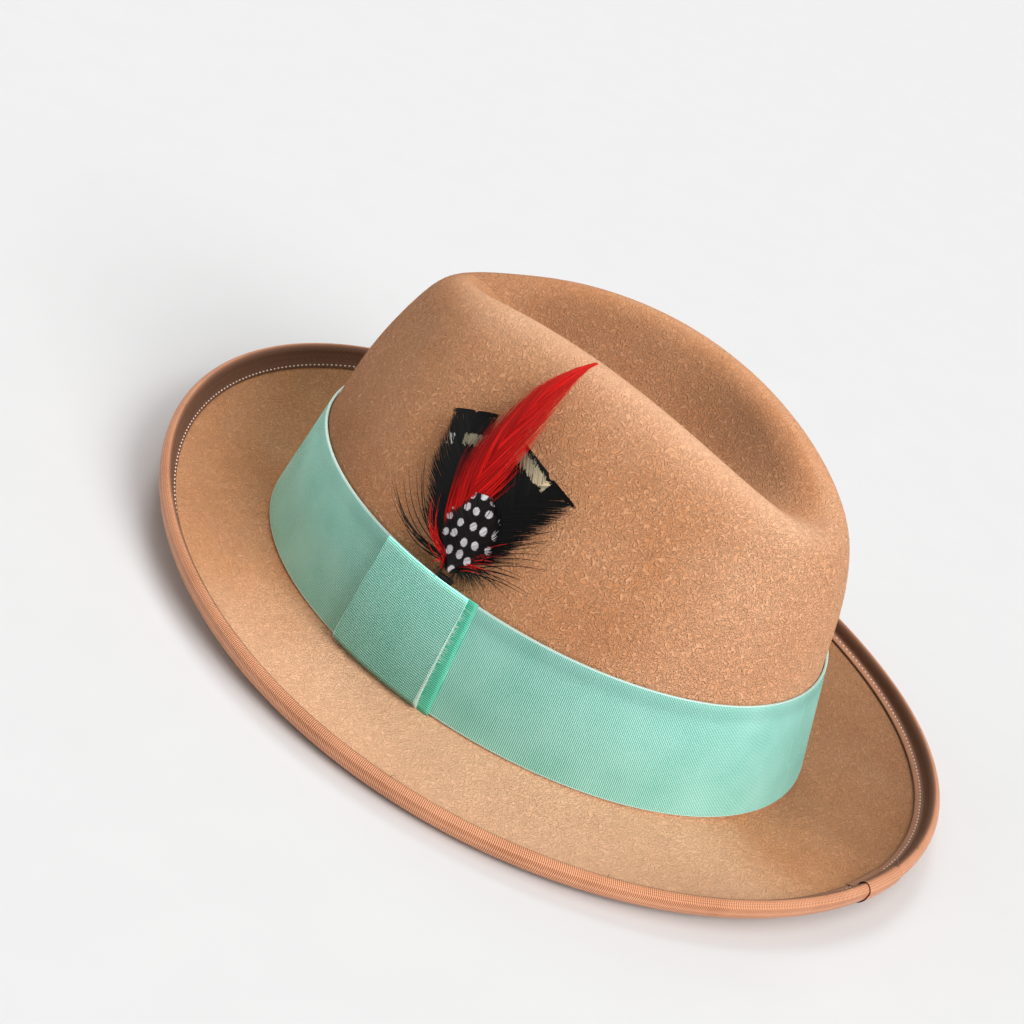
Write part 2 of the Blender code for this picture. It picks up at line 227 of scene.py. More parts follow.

# Fur felt: matt, with a soft bright rim where its hairs stand up. Its hairs curl into little worms half a millimetre
# wide, painted lighter where they lie on top and darker in the gaps as painted shade, and the dye takes unevenly over
# centimetres. Where the felt's tone is above 1 its colour is mixed towards a pale painted highlight.
fur_felt, tree, shader = new_material("long_haired_fur_felt", 0.95, Specular_IOR_Level=0.1, Sheen_Weight=0.10, Sheen_Roughness=0.5)
shader.inputs["Sheen Tint"].default_value = linear("#FFE3C8")
place = add(tree, "ShaderNodeTexCoord").outputs["Object"]
nap = add(tree, "ShaderNodeAttribute", attribute_name="nap").outputs["Fac"]
curls = None
for turn, gap in ((0.0, CURL_GAP), (0.7, CURL_GAP * 1.3)):
    turned_place = add(tree, "ShaderNodeMapping", {"Vector": place, "Rotation": (turn, turn * 2, turn)})
    noise = add(tree, "ShaderNodeTexNoise", {"Vector": turned_place.outputs[0], "Scale": 1 / (gap * 3), "Detail": 0.5, "Distortion": 0.6})
    ring = add(tree, "ShaderNodeMath", {0: noise.outputs[0], 1: 2 * pi * 5}, operation="MULTIPLY")
    wave = add(tree, "ShaderNodeMath", {0: ring.outputs[0]}, operation="SINE")
    line = add(tree, "ShaderNodeMapRange", {"Value": wave.outputs[0], "From Min": 0.1, "From Max": 0.95}, interpolation_type="SMOOTHSTEP")
    broken = add(tree, "ShaderNodeTexNoise", {"Vector": turned_place.outputs[0], "Scale": 1 / (gap * 1.6), "Detail": 0.0})
    kept = add(tree, "ShaderNodeMapRange", {"Value": broken.outputs[0], "From Min": 0.24, "From Max": 0.42}, interpolation_type="SMOOTHSTEP")
    piece_of = add(tree, "ShaderNodeMath", {0: line.outputs[0], 1: kept.outputs[0]}, operation="MULTIPLY")
    curls = piece_of.outputs[0] if curls is None else add(tree, "ShaderNodeMath", {0: curls, 1: piece_of.outputs[0]}, operation="MAXIMUM").outputs[0]
fuzz = add(tree, "ShaderNodeTexNoise", {"Vector": place, "Scale": 1 / 0.0007, "Detail": 2.0})
dye = add(tree, "ShaderNodeTexNoise", {"Vector": place, "Scale": 1 / 0.030, "Detail": 4.0, "Roughness": 0.65})
curl_strength = add(tree, "ShaderNodeMath", {0: curls, 1: nap}, operation="MULTIPLY")
relief = add(tree, "ShaderNodeMath", {0: fuzz.outputs[0], 1: 0.35, 2: curl_strength.outputs[0]}, operation="MULTIPLY_ADD")
shade = add(tree, "ShaderNodeMapRange", {"Value": relief.outputs[0], "From Min": 0.05, "From Max": 1.1, "To Min": 0.46, "To Max": 0.615})
dye_and_curl_shade = add(tree, "ShaderNodeMath", {0: dye.outputs[0], 1: 0.35, 2: shade.outputs[0]}, operation="MULTIPLY_ADD")
tones = add(tree, "ShaderNodeValToRGB", {"Fac": dye_and_curl_shade.outputs[0]})
tones.color_ramp.elements[0].position, tones.color_ramp.elements[0].color = 0.30, linear(FUR_DARK)
tones.color_ramp.elements[1].position, tones.color_ramp.elements[1].color = 1.05, linear(FUR_LIGHT)
tones.color_ramp.elements.new(0.62).color = linear(FUR_MID)
tone_and_painted_light = add(tree, "ShaderNodeAttribute", attribute_name="tone_and_painted_light").outputs["Fac"]
painted_lit_colour = add(tree, "ShaderNodeVectorMath", {0: tones.outputs[0], "Scale": tone_and_painted_light}, operation="SCALE")
highlight_share = add(tree, "ShaderNodeMapRange", {"Value": tone_and_painted_light, "From Min": 1.0, "From Max": 1.4, "To Max": 0.6})
highlighted = add(tree, "ShaderNodeMix", {0: highlight_share.outputs[0], 6: painted_lit_colour.outputs[0], 7: linear(FUR_HIGHLIGHT)}, data_type="RGBA")
bump = add(tree, "ShaderNodeBump", {"Height": relief.outputs[0], "Distance": 0.00060, "Strength": 1.0})
tree.links.new(highlighted.outputs[2], shader.inputs["Base Color"])
tree.links.new(bump.outputs[0], shader.inputs["Normal"])
hood.data.materials.append(fur_felt)

# Nap: single fur hairs that stand out of the felt, a millimetre or two long and curled over, thickest on the crown.
HAIRS = 9000
HAIR_LENGTH = (0.0010, 0.0022)
HAIR_WIDTH = 0.00013


def strands(name, paths, widths, out, finish, lay=None):
    """One mesh of thin strips that taper to their tips. paths is strands x stations x 3, and out is the way they face."""
    paths = np.asarray(paths, float)
    count, stations = paths.shape[:2]
    along = np.gradient(paths, axis=1)
    across = np.cross(along, out)
    across /= np.maximum(np.linalg.norm(across, axis=2, keepdims=True), 1e-12)
    taper = 1 - 0.85 * np.linspace(0, 1, stations) ** 2
    half = np.reshape(widths, (-1, 1, 1)) * taper[None, :, None] / 2
    corners = np.stack([paths - across * half, paths + across * half], axis=2).reshape(-1, 3)
    first = (np.arange(count)[:, None] * stations + np.arange(stations - 1)).ravel() * 2
    faces = np.stack([first, first + 1, first + 3, first + 2], axis=1)
    mesh = bpy.data.meshes.new(name)
    mesh.from_pydata(corners.tolist(), [], faces.tolist())
    mesh.shade_smooth()
    tint = np.repeat(chance.random(count), stations * 2)
    set_attribute(mesh, "tint", "FLOAT", "POINT", tint)
    if lay is not None:
        set_attribute(mesh, "lay", "FLOAT_VECTOR", "POINT", np.repeat(np.asarray(lay).reshape(-1, 3), 2, axis=0))
    mesh.materials.append(finish)
    piece = bpy.data.objects.new(name, mesh)
    bpy.context.collection.objects.link(piece)
    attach(piece, "root")
    return piece


def bent(start, middle, end, stations):
    """Curves of three control points each, as strands x stations x 3."""
    t = np.linspace(0, 1, stations)[None, :, None]
    return (1 - t) ** 2 * start[:, None] + 2 * t * (1 - t) * middle[:, None] + t**2 * end[:, None]


faces = hood.data.polygons
hair_data = np.array([[*f.center, *f.normal, f.area] for f in faces])
centre, normal, area = hair_data[:, :3], hair_data[:, 3:6], hair_data[:, 6]
axis_out = centre * np.array([1, 1, 0]) + np.array([0, 0.0041, 0])
outside = (normal * axis_out).sum(1) > -0.02 * np.linalg.norm(axis_out, axis=1)
outside &= normal[:, 2] > -0.2
chance_of = area * outside * (0.15 + np.clip((0.86 - np.abs(normal[:, 2])) / 0.45, 0, 1))
picked = chance.choice(len(faces), HAIRS, p=chance_of / chance_of.sum())
root, rise = centre[picked], normal[picked]
root = root + unit(np.cross(rise, chance.normal(size=root.shape))) * (np.sqrt(area[picked]) * chance.random(HAIRS) * 0.6)[:, None]
lean = unit(np.cross(rise, chance.normal(size=root.shape)))
turn = unit(np.cross(rise, lean)) * chance.choice([-1, 1], HAIRS)[:, None]
long = chance.uniform(*HAIR_LENGTH, HAIRS)[:, None]
middle = root + (lean * 0.45 + rise * 0.22) * long
end = root + (lean * 0.75 + turn * 0.5 + rise * 0.06) * long
hair_paths = bent(root - rise * 0.0001, middle, end, 4)
hair_fur, tree, shader = new_material("loose_fur_hair", 0.8, Specular_IOR_Level=0.2)
tint = add(tree, "ShaderNodeAttribute", attribute_name="tint").outputs["Fac"]
tone = add(tree, "ShaderNodeMix", {0: tint, 6: linear("#BE8658"), 7: linear(FUR_LIGHT)}, data_type="RGBA")
tree.links.new(tone.outputs[2], shader.inputs["Base Color"])
nap_hairs = strands("felt_nap_hairs", hair_paths, np.full(HAIRS, HAIR_WIDTH), rise[:, None], hair_fur)

# Brim binding: a copper grosgrain ribbon folded over the rolled edge and sewn through, with one flap on each face of
# the brim. Its ribs run across the lip, and its stitches show as a row of pale dots at the lip's foot.
RIB = 0.0006
BRIM_X, BRIM_Y = 0.1301, 0.1438


def ring_lay(piece, half_x, half_y, centre_y, across):
    """Marks each corner with its length round an ellipse and its place across the ribbon, in metres."""
    mesh = piece.data
    corner = np.zeros(len(mesh.loops), int)
    mesh.loops.foreach_get("vertex_index", corner)
    points = points_of(mesh, "co")
    angle = np.arctan2((points[:, 1] - centre_y) / half_y, points[:, 0] / half_x)[corner]
    angle = np.where(angle < pi / 2, angle + 2 * pi, angle)
    steps = np.linspace(pi / 2, 5 * pi / 2, 1441)
    length = np.concatenate([[0], np.cumsum(np.hypot(half_x * np.sin(steps[1:]), half_y * np.cos(steps[1:])) * np.diff(steps))])
    start = np.zeros(len(mesh.polygons), int)
    total = np.zeros(len(mesh.polygons), int)
    mesh.polygons.foreach_get("loop_start", start)
    mesh.polygons.foreach_get("loop_total", total)
    face = np.repeat(np.arange(len(start)), total)
    highest = np.maximum.reduceat(angle, start)[face]
    angle = np.where(highest - angle > pi, angle + 2 * pi, angle)
    values = np.stack([np.interp(angle, steps, length) + np.maximum(angle - 5 * pi / 2, 0) * half_x, across[corner], angle], axis=1)
    set_attribute(mesh, "lay", "FLOAT_VECTOR", "CORNER", values)


binding = copy_of("brim_binding", "brim_binding_ribbon", 0, 2)
points = points_of(binding.data, "co")
inset = 1 - np.hypot(points[:, 0] / BRIM_X, points[:, 1] / BRIM_Y)
ring_lay(binding, BRIM_X, BRIM_Y, 0, inset * 0.137)
# Painted shade: the ribbon is darker where it faces in towards the crown, on the lip's inner wall, and a little lighter
# elsewhere.
way_in = -(points_of(binding.data, "normal")[:, :2] * unit(points[:, :2])).sum(1)
set_attribute(binding.data, "tone_and_painted_light", "FLOAT", "POINT", 1.08 - 0.68 * np.clip(way_in / 0.8, 0, 1))

# Grosgrain: satin threads lie over thick cords, so that the ribbon has raised ribs half a millimetre apart. Besides
# their bump, the ribs and threads are painted lighter on top and darker between them, a painted light and shade, and
# the colour is scaled by the tone, and where that is below 1 it is also mixed towards a deep shade of the dark colour,
# a painted shade.


def ribbed(name, base, light, dark, rib, edge_marks, roughness, thread=0.35):
    made, tree, shader = new_material(name, roughness, Specular_IOR_Level=0.4, Sheen_Weight=0.05, Sheen_Roughness=0.4)
    lay = add(tree, "ShaderNodeSeparateXYZ", {0: add(tree, "ShaderNodeAttribute", attribute_name="lay").outputs["Vector"]})
    place = add(tree, "ShaderNodeTexCoord").outputs["Object"]
    wander = add(tree, "ShaderNodeTexNoise", {"Vector": place, "Scale": 400.0, "Detail": 2.0})
    moved = add(tree, "ShaderNodeMath", {0: wander.outputs[0], 1: rib * 0.2, 2: lay.outputs[0]}, operation="MULTIPLY_ADD")
    rib_wave = add(tree, "ShaderNodeMath", {0: add(tree, "ShaderNodeMath", {0: moved.outputs[0], 1: 2 * pi / rib}, operation="MULTIPLY").outputs[0]}, operation="SINE")
    moved_across = add(tree, "ShaderNodeMath", {0: wander.outputs[0], 1: rib * 0.2, 2: lay.outputs[1]}, operation="MULTIPLY_ADD")
    thread_wave = add(tree, "ShaderNodeMath", {0: add(tree, "ShaderNodeMath", {0: moved_across.outputs[0], 1: 2 * pi / (rib * 0.8)}, operation="MULTIPLY").outputs[0]}, operation="SINE")
    weave = add(tree, "ShaderNodeMath", {0: thread_wave.outputs[0], 1: thread, 2: rib_wave.outputs[0]}, operation="MULTIPLY_ADD")
    bright = add(tree, "ShaderNodeMapRange", {"Value": weave.outputs[0], "From Min": -1.3, "From Max": 1.3})
    patchy = add(tree, "ShaderNodeTexNoise", {"Vector": place, "Scale": 55.0, "Detail": 3.0})
    tone = add(tree, "ShaderNodeMath", {0: patchy.outputs[0], 1: 0.5, 2: bright.outputs[0]}, operation="MULTIPLY_ADD")
    ramp = add(tree, "ShaderNodeValToRGB", {"Fac": tone.outputs[0]})
    ramp.color_ramp.elements[0].position, ramp.color_ramp.elements[0].color = 0.15, linear(dark)
    ramp.color_ramp.elements[1].position, ramp.color_ramp.elements[1].color = 1.25, linear(light)
    ramp.color_ramp.elements.new(0.75).color = linear(base)
    colour = ramp.outputs[0]
    for low, high, tint in edge_marks:
        inside = add(tree, "ShaderNodeMath", {0: lay.outputs[1], 1: (low + high) / 2, 2: abs(high - low) / 2}, operation="COMPARE")
        colour = add(tree, "ShaderNodeMix", {0: inside.outputs[0], 6: colour, 7: linear(tint)}, data_type="RGBA").outputs[2]
    tone_and_painted_light = add(tree, "ShaderNodeAttribute", attribute_name="tone_and_painted_light").outputs["Fac"]
    painted_lit_colour = add(tree, "ShaderNodeVectorMath", {0: colour, "Scale": tone_and_painted_light}, operation="SCALE")
    shade = add(tree, "ShaderNodeMapRange", {"Value": tone_and_painted_light, "From Min": 1.0, "From Max": 0.4, "To Max": 0.75})
    deepest = [share * 0.45 for share in linear(dark)[:3]] + [1.0]
    shaded = add(tree, "ShaderNodeMix", {0: shade.outputs[0], 6: painted_lit_colour.outputs[0], 7: deepest}, data_type="RGBA")
    bump = add(tree, "ShaderNodeBump", {"Height": weave.outputs[0], "Distance": rib * 0.2, "Strength": 0.6})
    tree.links.new(shaded.outputs[2], shader.inputs["Base Color"])
    tree.links.new(bump.outputs[0], shader.inputs["Normal"])
    return made


copper = ribbed("copper_grosgrain_ribbon", "#C97F52", "#F0B088", "#84492C", RIB, (), 0.38)
binding.data.materials.append(copper)

# The ribbon's last centimetre laps over its start at the back of the brim, and a thread's end is left there.
LAP = (radians(79), radians(88.7))
ribbon_angle = np.arctan2(points_of(binding.data, "co")[:, 1] / BRIM_Y, points_of(binding.data, "co")[:, 0] / BRIM_X)
raised = points_of(binding.data, "co") + points_of(binding.data, "normal") * 0.00045
outer = np.array([felt_surface.find_nearest(Vector(point))[3] > 0.0006 for point in points_of(binding.data, "co")])
lapped = [tuple(f.vertices) for f in binding.data.polygons if all(LAP[0] < ribbon_angle[v] < LAP[1] and outer[v] for v in f.vertices)]
used = sorted({v for f in lapped for v in f})
mesh = bpy.data.meshes.new("binding_lap")
mesh.from_pydata(raised[used].tolist(), [], [[used.index(v) for v in f] for f in lapped])
mesh.shade_smooth()
lap = bpy.data.objects.new("binding_lap", mesh)
bpy.context.collection.objects.link(lap)
ring_lay(lap, BRIM_X, BRIM_Y, 0, (inset * 0.137)[used])
# Painted shade on the lap where it faces in towards the crown, as on the binding.
set_attribute(mesh, "tone_and_painted_light", "FLOAT", "POINT", 1.08 - 0.6 * np.clip(way_in[used] / 0.8, 0, 1))
mesh.materials.append(copper)
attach(lap, "root")

# Stitches: a lockstitch in pale pinkish thread through both flaps, at the lip's foot, about 2.2 mm from one to the next.
STITCHES = 386
STITCH_INSET = 0.0061
STITCH_SIZE = (0.00042, 0.00030, 0.00030)


def ball(size=1.0):
    """The points and faces of a small ico sphere."""
    bpy.ops.object.select_all(action="DESELECT")
    bpy.ops.mesh.primitive_ico_sphere_add(subdivisions=2, radius=size)
    made = bpy.context.object
    corners, faces = points_of(made.data, "co"), np.array([tuple(f.vertices) for f in made.data.polygons])
    bpy.data.objects.remove(made)
    return corners, faces


ribbon_surface = BVHTree.FromObject(binding, bpy.context.evaluated_depsgraph_get())
ball_points, ball_faces = ball()
stitch_points = []
for turned in np.arange(STITCHES) / STITCHES * 2 * pi:
    spot = Vector(((BRIM_X - STITCH_INSET) * cos(turned), (BRIM_Y - STITCH_INSET) * sin(turned), 0))
    tangent = Vector((-BRIM_X * sin(turned), BRIM_Y * cos(turned), 0)).normalized()
    for height, way in ((0.05, -1), (-0.05, 1)):
        hit, rise = ribbon_surface.ray_cast(spot + Vector((0, 0, height)), Vector((0, 0, way)))[:2]
        if hit is None:
            continue
        side = rise.cross(tangent).normalized()
        axes = np.array([tangent * STITCH_SIZE[0], side * STITCH_SIZE[1], rise * STITCH_SIZE[2]])
        stitch_points.append(ball_points @ axes + np.array(hit))
count = len(stitch_points)
faces = (ball_faces[None] + (np.arange(count) * len(ball_points))[:, None, None]).reshape(-1, 3)
mesh = bpy.data.meshes.new("binding_stitches")
mesh.from_pydata(np.concatenate(stitch_points).tolist(), [], faces.tolist())
mesh.shade_smooth()
thread, tree, shader = new_material("pale_sewing_thread", 0.6)
shader.inputs["Base Color"].default_value = linear("#F6DCCB")
mesh.materials.append(thread)
stitches = bpy.data.objects.new("binding_stitches", mesh)
bpy.context.collection.objects.link(stitches)
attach(stitches, "root")

# Loose ends: a hooked thread where the binding laps, and a few short ones that were not snipped off round the edge.
ends = [(radians(89), 0.0012, 0.006)] + [(angle, 0.0005, 0.0025) for angle in radians(1) * np.array([72.0, 40, 12, -20, -63, 96, 130, 178])]
starts, middles, stops = [], [], []
for angle, width, long in ends:
    outward = np.array([cos(angle), sin(angle), 0])
    spot = Vector(((BRIM_X - 0.002) * cos(angle), (BRIM_Y - 0.002) * sin(angle), 0.05))
    hit = np.array(ribbon_surface.ray_cast(spot, Vector((0, 0, -1)))[0])
    along_edge = np.array([-sin(angle), cos(angle), 0])
    starts.append(hit)
    middles.append(hit - outward * long * 0.5 + np.array([0, 0, long * 0.5]))
    stops.append(hit - outward * long * 0.6 + along_edge * long * 0.6 - np.array([0, 0, 0.0]))
loose_ends = strands("loose_thread_ends", bent(np.array(starts), np.array(middles), np.array(stops), 9), np.full(len(ends), 0.00022),
    np.array([0, 0, 1.0]), copper)
set_attribute(loose_ends.data, "tone_and_painted_light", "FLOAT", "POINT", np.full(len(loose_ends.data.vertices), 0.5))

# Hat band: 38 mm mint grosgrain, wrapped tight round the foot of the crown and tacked down. Its woven edge is a little
# thicker and paler, and the pale strips along its edges also carry a painted highlight.
HEAD_X, HEAD_Y, HEAD_CENTRE = 0.0801, 0.0994, -0.0041
MINT, MINT_LIGHT, MINT_DARK, SELVAGE_AND_HIGHLIGHT = "#7FD8C3", "#C6FAEF", "#4EA68F", "#DDFBF2"
band = copy_of("hat_band", "band_ribbon", 0.0003, 2)
points = points_of(band.data, "co")
low, high = points[:, 2].min(), points[:, 2].max()
ring_lay(band, HEAD_X, HEAD_Y, HEAD_CENTRE, points[:, 2] - low)
mint = ribbed("mint_grosgrain_ribbon", MINT, MINT_LIGHT, MINT_DARK, RIB, ((-0.0002, 0.0007, MINT_LIGHT), (high - low - 0.0006, high - low + 0.0002, SELVAGE_AND_HIGHLIGHT)), 0.5)
band.data.materials.append(mint)
# Painted light round the band, lighter round the front and darker at the back, and a painted shade a few millimetres
# under its top edge.
shaded_top = np.exp(-(((high - 0.0035 - points[:, 2]) / 0.0025) ** 2))
band_angle = np.degrees(np.arctan2(points[:, 1], points[:, 0]))
band_painted_light = np.interp(band_angle, (-180, -90, -55, -28, 30, 74, 95, 180), (1.0, 1.3, 1.3, 0.98, 0.94, 1.04, 0.90, 1.0))
set_attribute(band.data, "tone_and_painted_light", "FLOAT", "POINT", band_painted_light - 0.10 * shaded_top)
band_surface = BVHTree.FromObject(band, bpy.context.evaluated_depsgraph_get())

# Bow: a short length of the same ribbon, set upright across the band and folded over at both ends.
bow = copy_of("band_bow", "bow_ribbon", 0.0003, 2)
points = points_of(bow.data, "co")
corner = np.zeros(len(bow.data.loops), int)
bow.data.loops.foreach_get("vertex_index", corner)
set_attribute(bow.data, "lay", "FLOAT_VECTOR", "CORNER", np.stack([points[:, 2], points[:, 1], points[:, 0]], axis=1)[corner])
bow_low, bow_high = points[:, 1].min(), points[:, 1].max()
# The pale strips along the bow's edges are the selvage's colour with a painted highlight.
bow_edges = ((bow_low - 0.0002, bow_low + 0.0005, MINT_LIGHT), (bow_high - 0.0008, bow_high + 0.0002, SELVAGE_AND_HIGHLIGHT))
bow_mint = ribbed("mint_grosgrain_bow", "#62CCB4", MINT_LIGHT, "#52AD94", 0.0007, bow_edges, 0.5, thread=0.9)
bow.data.materials.append(bow_mint)
# Painted highlight along the bow's folded top, pale and strong, and the colour grows darker towards the bottom.
down_bow = np.clip((points[:, 2].max() - points[:, 2]) / 0.04, 0, 1)
set_attribute(bow.data, "tone_and_painted_light", "FLOAT", "POINT", 1.04 - 0.18 * down_bow + 0.8 * np.clip(1 - down_bow / 0.05, 0, 1))

# The bow's under loop: the same ribbon turned back beneath it, so that 1 to 4 mm of it show beyond the bow's back edge.
LOOP_OUT = 0.0038
rows, columns = 24, 9
heights = np.linspace(low - 0.0006, high + 0.0006, rows)
loop_points = []
for z in heights:
    shown = LOOP_OUT * (0.35 + 0.65 * (high - z) / (high - low))
    for y in np.linspace(bow_high - 0.0085, bow_high + shown, columns):
        hit = band_surface.ray_cast(Vector((0.15, y, min(max(z, low + 0.0005), high - 0.0005))), Vector((-1, 0, 0)))[0]
        loop_points.append((hit.x + 0.0005, y, z))
first = (np.arange(rows - 1)[:, None] * columns + np.arange(columns - 1)).ravel()
mesh = bpy.data.meshes.new("bow_under_loop")
mesh.from_pydata(loop_points, [], np.stack([first, first + 1, first + columns + 1, first + columns], axis=1).tolist())
mesh.shade_smooth()
under_loop = bpy.data.objects.new("bow_under_loop", mesh)
bpy.context.collection.objects.link(under_loop)
bpy.ops.object.select_all(action="DESELECT")
under_loop.select_set(True)
bpy.context.view_layer.objects.active = under_loop
bpy.ops.object.modifier_add(type="SOLIDIFY")
under_loop.modifiers[-1].thickness, under_loop.modifiers[-1].offset = 0.0006, -1
bpy.ops.object.modifier_apply(modifier=under_loop.modifiers[-1].name)
points = points_of(mesh, "co")
corner = np.zeros(len(mesh.loops), int)
mesh.loops.foreach_get("vertex_index", corner)
set_attribute(mesh, "lay", "FLOAT_VECTOR", "CORNER", np.stack([points[:, 2], points[:, 1], points[:, 0]], axis=1)[corner])
set_attribute(mesh, "tone_and_painted_light", "FLOAT", "POINT", np.full(len(points), 1.0))
# Painted shade: the under loop is given a deeper, more saturated teal than the band's ribbon.
shaded_mint = ribbed("mint_grosgrain_under_loop", "#3FD0A8", "#86E8CF", "#2A9E7C", RIB, (), 0.5)
mesh.materials.append(shaded_mint)
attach(under_loop, "root")

# Frayed selvage: the bow's back edge is worn, and short pale fibres stand out of it.
FIBRES = 170
bow_surface = BVHTree.FromObject(bow, bpy.context.evaluated_depsgraph_get())
starts = []
for z in chance.uniform(low, high, FIBRES):
    hit = bow_surface.ray_cast(Vector((0.15, bow_high - 0.0016, z)), Vector((-1, 0, 0)))[0]
    starts.append(np.array(hit or bow_surface.find_nearest(Vector((0.09, bow_high, z)))[0]) + np.array([0, 0.0010, 0]))
starts = np.array(starts)
stray = chance.normal(size=(FIBRES, 3)) * 0.00035
middles = starts + np.array([0.0004, 0.0006, 0]) + stray
stops = starts + np.array([0.0002, 0.0013, 0]) + stray * 2
frayed, tree, shader = new_material("frayed_mint_fibre", 0.8)
shader.inputs["Base Color"].default_value = linear("#DDFBF2")
fibres = strands("bow_edge_fibres", bent(starts, middles, stops, 4), np.full(FIBRES, 0.00012), np.array([1.0, 0, 0]), frayed)

# Plume: four small feathers glued foot to foot, with their quills bound and pushed down behind the bow. Each is a
# shaft with two rows of barbs. A blade is laid over the felt in the plume's own frame: up the crown, back along it,
# and out from it.
FOOT = np.array([0.0748, -0.0033, 0.0435])
SLOPE = radians(25)
UP_FELT = np.array([-sin(SLOPE), 0, cos(SLOPE)])
BACKWARDS = np.array([0, 1.0, 0])
OUT = np.array([cos(SLOPE), 0, sin(SLOPE)])


def over_felt(u, v, height):
    """The point u up the crown from the plume's foot and v back from it, in millimetres, at a height off the felt."""
    start = FOOT + UP_FELT * u / 1000 + BACKWARDS * v / 1000 + OUT * 0.05
    hit = felt_surface.ray_cast(Vector(start), Vector(-OUT))[0]
    return np.array(hit) + OUT * height / 1000


def feather(name, node, spine, widths, slant, heights, barbs, width, finish, ragged=0.05, layers=2, stray=0.3, camber=1.0):
    """Barbs on both sides of a shaft. spine is (u, v) points, widths the half width there, slant how far along the
    shaft a barb's tip lies beyond its root, and heights the blade's height off the felt at those points, all in mm."""
    spine, heights = np.array(spine, float), np.array(heights, float)
    knots = np.linspace(0, 1, len(spine))
    long = np.linalg.norm(np.diff(spine, axis=0), axis=1).sum()
    table = {}
    shares = np.linspace(0, 1.0, 61)
    line = np.stack([np.interp(shares, knots, spine[:, k]) for k in (0, 1)], axis=1)
    for _ in range(6):
        line[1:-1] = (line[:-2] + 2 * line[1:-1] + line[2:]) / 4
    way = np.gradient(line, axis=0)
    way /= np.linalg.norm(way, axis=1, keepdims=True)
    stations = 9
    paths, lay, sizes = [], [], []
    left, right_ = (np.array(w, float) for w in widths)
    for layer in range(layers):
        for side, half in ((-1, left), (1, right_)):
            clump = 0.0
            for begin in np.linspace(0.0, 1.0, barbs):
                if chance.random() < 0.2:
                    clump = chance.normal() * ragged * 0.8
                spill, drift = 1 + 0.022 * chance.random(), chance.normal() * stray
                begin = begin + chance.normal() * 0.006
                reach = 1 + chance.normal() * ragged + clump - layer * 0.05
                longer = chance.random() < 0.12
                reach += 1.4 * ragged * longer
                lifted = chance.normal() * 0.12 + layer * 0.25
                path, marks = [], []
                for t in np.linspace(0, 1, stations):
                    share = begin + slant * t * reach
                    share = min(share, spill)
                    inner = min(max(share, 0), 1)
                    out_width = np.interp(inner, np.linspace(0, 1, len(half)), half) * t * min(reach, 1.5) + drift * t * t * (1 - inner) ** 0.5
                    centre = [np.interp(inner, shares, line[:, k]) for k in (0, 1)]
                    direction = [np.interp(inner, shares, way[:, k]) for k in (0, 1)]
                    beyond = (share - inner) * long
                    u = centre[0] - direction[1] * out_width * side + direction[0] * beyond
                    v = centre[1] + direction[0] * out_width * side + direction[1] * beyond
                    height = np.interp(inner, np.linspace(0, 1, len(heights)), heights) + camber * (1 - t * t) + lifted
                    path.append(over_felt(u, v, height))
                    marks.append((inner * long, side * out_width, t))
                paths.append(path)
                lay.append(marks)
                sizes.append(width * (0.8 + 0.4 * chance.random()) * (1 - 0.4 * longer) / 1000)
    piece = strands(name, np.array(paths), np.array(sizes), OUT, finish, lay=np.array(lay))
    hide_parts(node)
    shaft = [over_felt(line[k][0], line[k][1], np.interp(shares[k], np.linspace(0, 1, len(heights)), heights) + camber + 0.2) for k in range(0, 56, 5)]
    return piece, shaft


def feather_material(name, gloss):
    """Feather barbs: horny strands that lie side by side, glossy along their length."""
    made, tree, shader = new_material(name, 0.42, Specular_IOR_Level=gloss)
    marks = add(tree, "ShaderNodeSeparateXYZ", {0: add(tree, "ShaderNodeAttribute", attribute_name="lay").outputs["Vector"]})
    tint = add(tree, "ShaderNodeAttribute", attribute_name="tint").outputs["Fac"]
    return made, tree, shader, marks, tint


